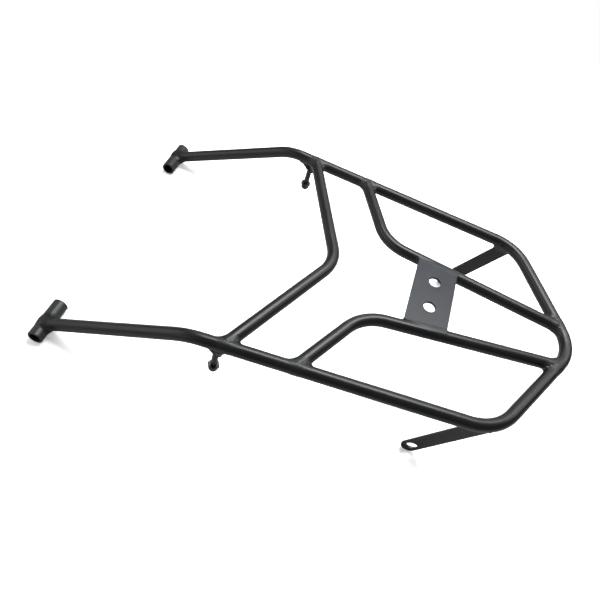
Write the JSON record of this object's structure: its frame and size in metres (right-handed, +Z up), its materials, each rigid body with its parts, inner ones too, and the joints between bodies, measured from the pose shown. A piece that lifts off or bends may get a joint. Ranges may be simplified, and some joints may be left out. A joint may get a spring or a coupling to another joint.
{
  "type": "luggage rack",
  "caption": "Welded bent-tube luggage rack for a motorcycle tail, with side sleeves at the front, flat bolt-on stays at the back and a drilled mounting plate.",
  "frame": {"origin": "centre of the footprint, on the surface that the rack stands on with its two front bosses and the feet of its two rear stays", "axes": "+X aft, towards the tail of the rack; +Y to the rider's right; +Z up, square to the surface it stands on"},
  "size_m": [0.5585, 0.366, 0.1141],
  "materials": {
    "coated_tube": "satin black powder coat, fine texture",
    "coated_plate": "satin black powder coat, fine texture",
    "coated_boss": "satin black powder coat, bore edge worn",
    "coated_bar": "satin black powder coat",
    "coated_rod": "satin black powder coat",
    "coated_nut": "satin black powder coat",
    "coated_weld": "satin black powder coat over a rippled weld bead"
  },
  "bodies": {
    "root": {"left_front_boss": "coated_boss", "right_front_boss": "coated_boss", "left_front_arm": "coated_tube", "right_front_arm": "coated_tube", "deck_hoop": "coated_tube", "front_crossbar": "coated_tube", "left_inner_rail": "coated_tube", "right_inner_rail": "coated_tube", "mounting_plate": "coated_plate", "left_rear_stay": "coated_bar", "right_rear_stay": "coated_bar", "left_peg": "coated_rod", "left_peg_nut": "coated_nut", "right_peg": "coated_rod", "right_peg_nut": "coated_nut", "left_crossbar_weld": "coated_weld", "left_inner_front_weld": "coated_weld", "left_inner_back_weld": "coated_weld", "left_boss_weld": "coated_weld", "left_plate_weld": "coated_weld", "left_stay_weld": "coated_weld", "left_peg_weld": "coated_weld", "right_crossbar_weld": "coated_weld", "right_inner_front_weld": "coated_weld", "right_inner_back_weld": "coated_weld", "right_boss_weld": "coated_weld", "right_plate_weld": "coated_weld", "right_stay_weld": "coated_weld", "right_peg_weld": "coated_weld"}
  },
  "joints": []
}
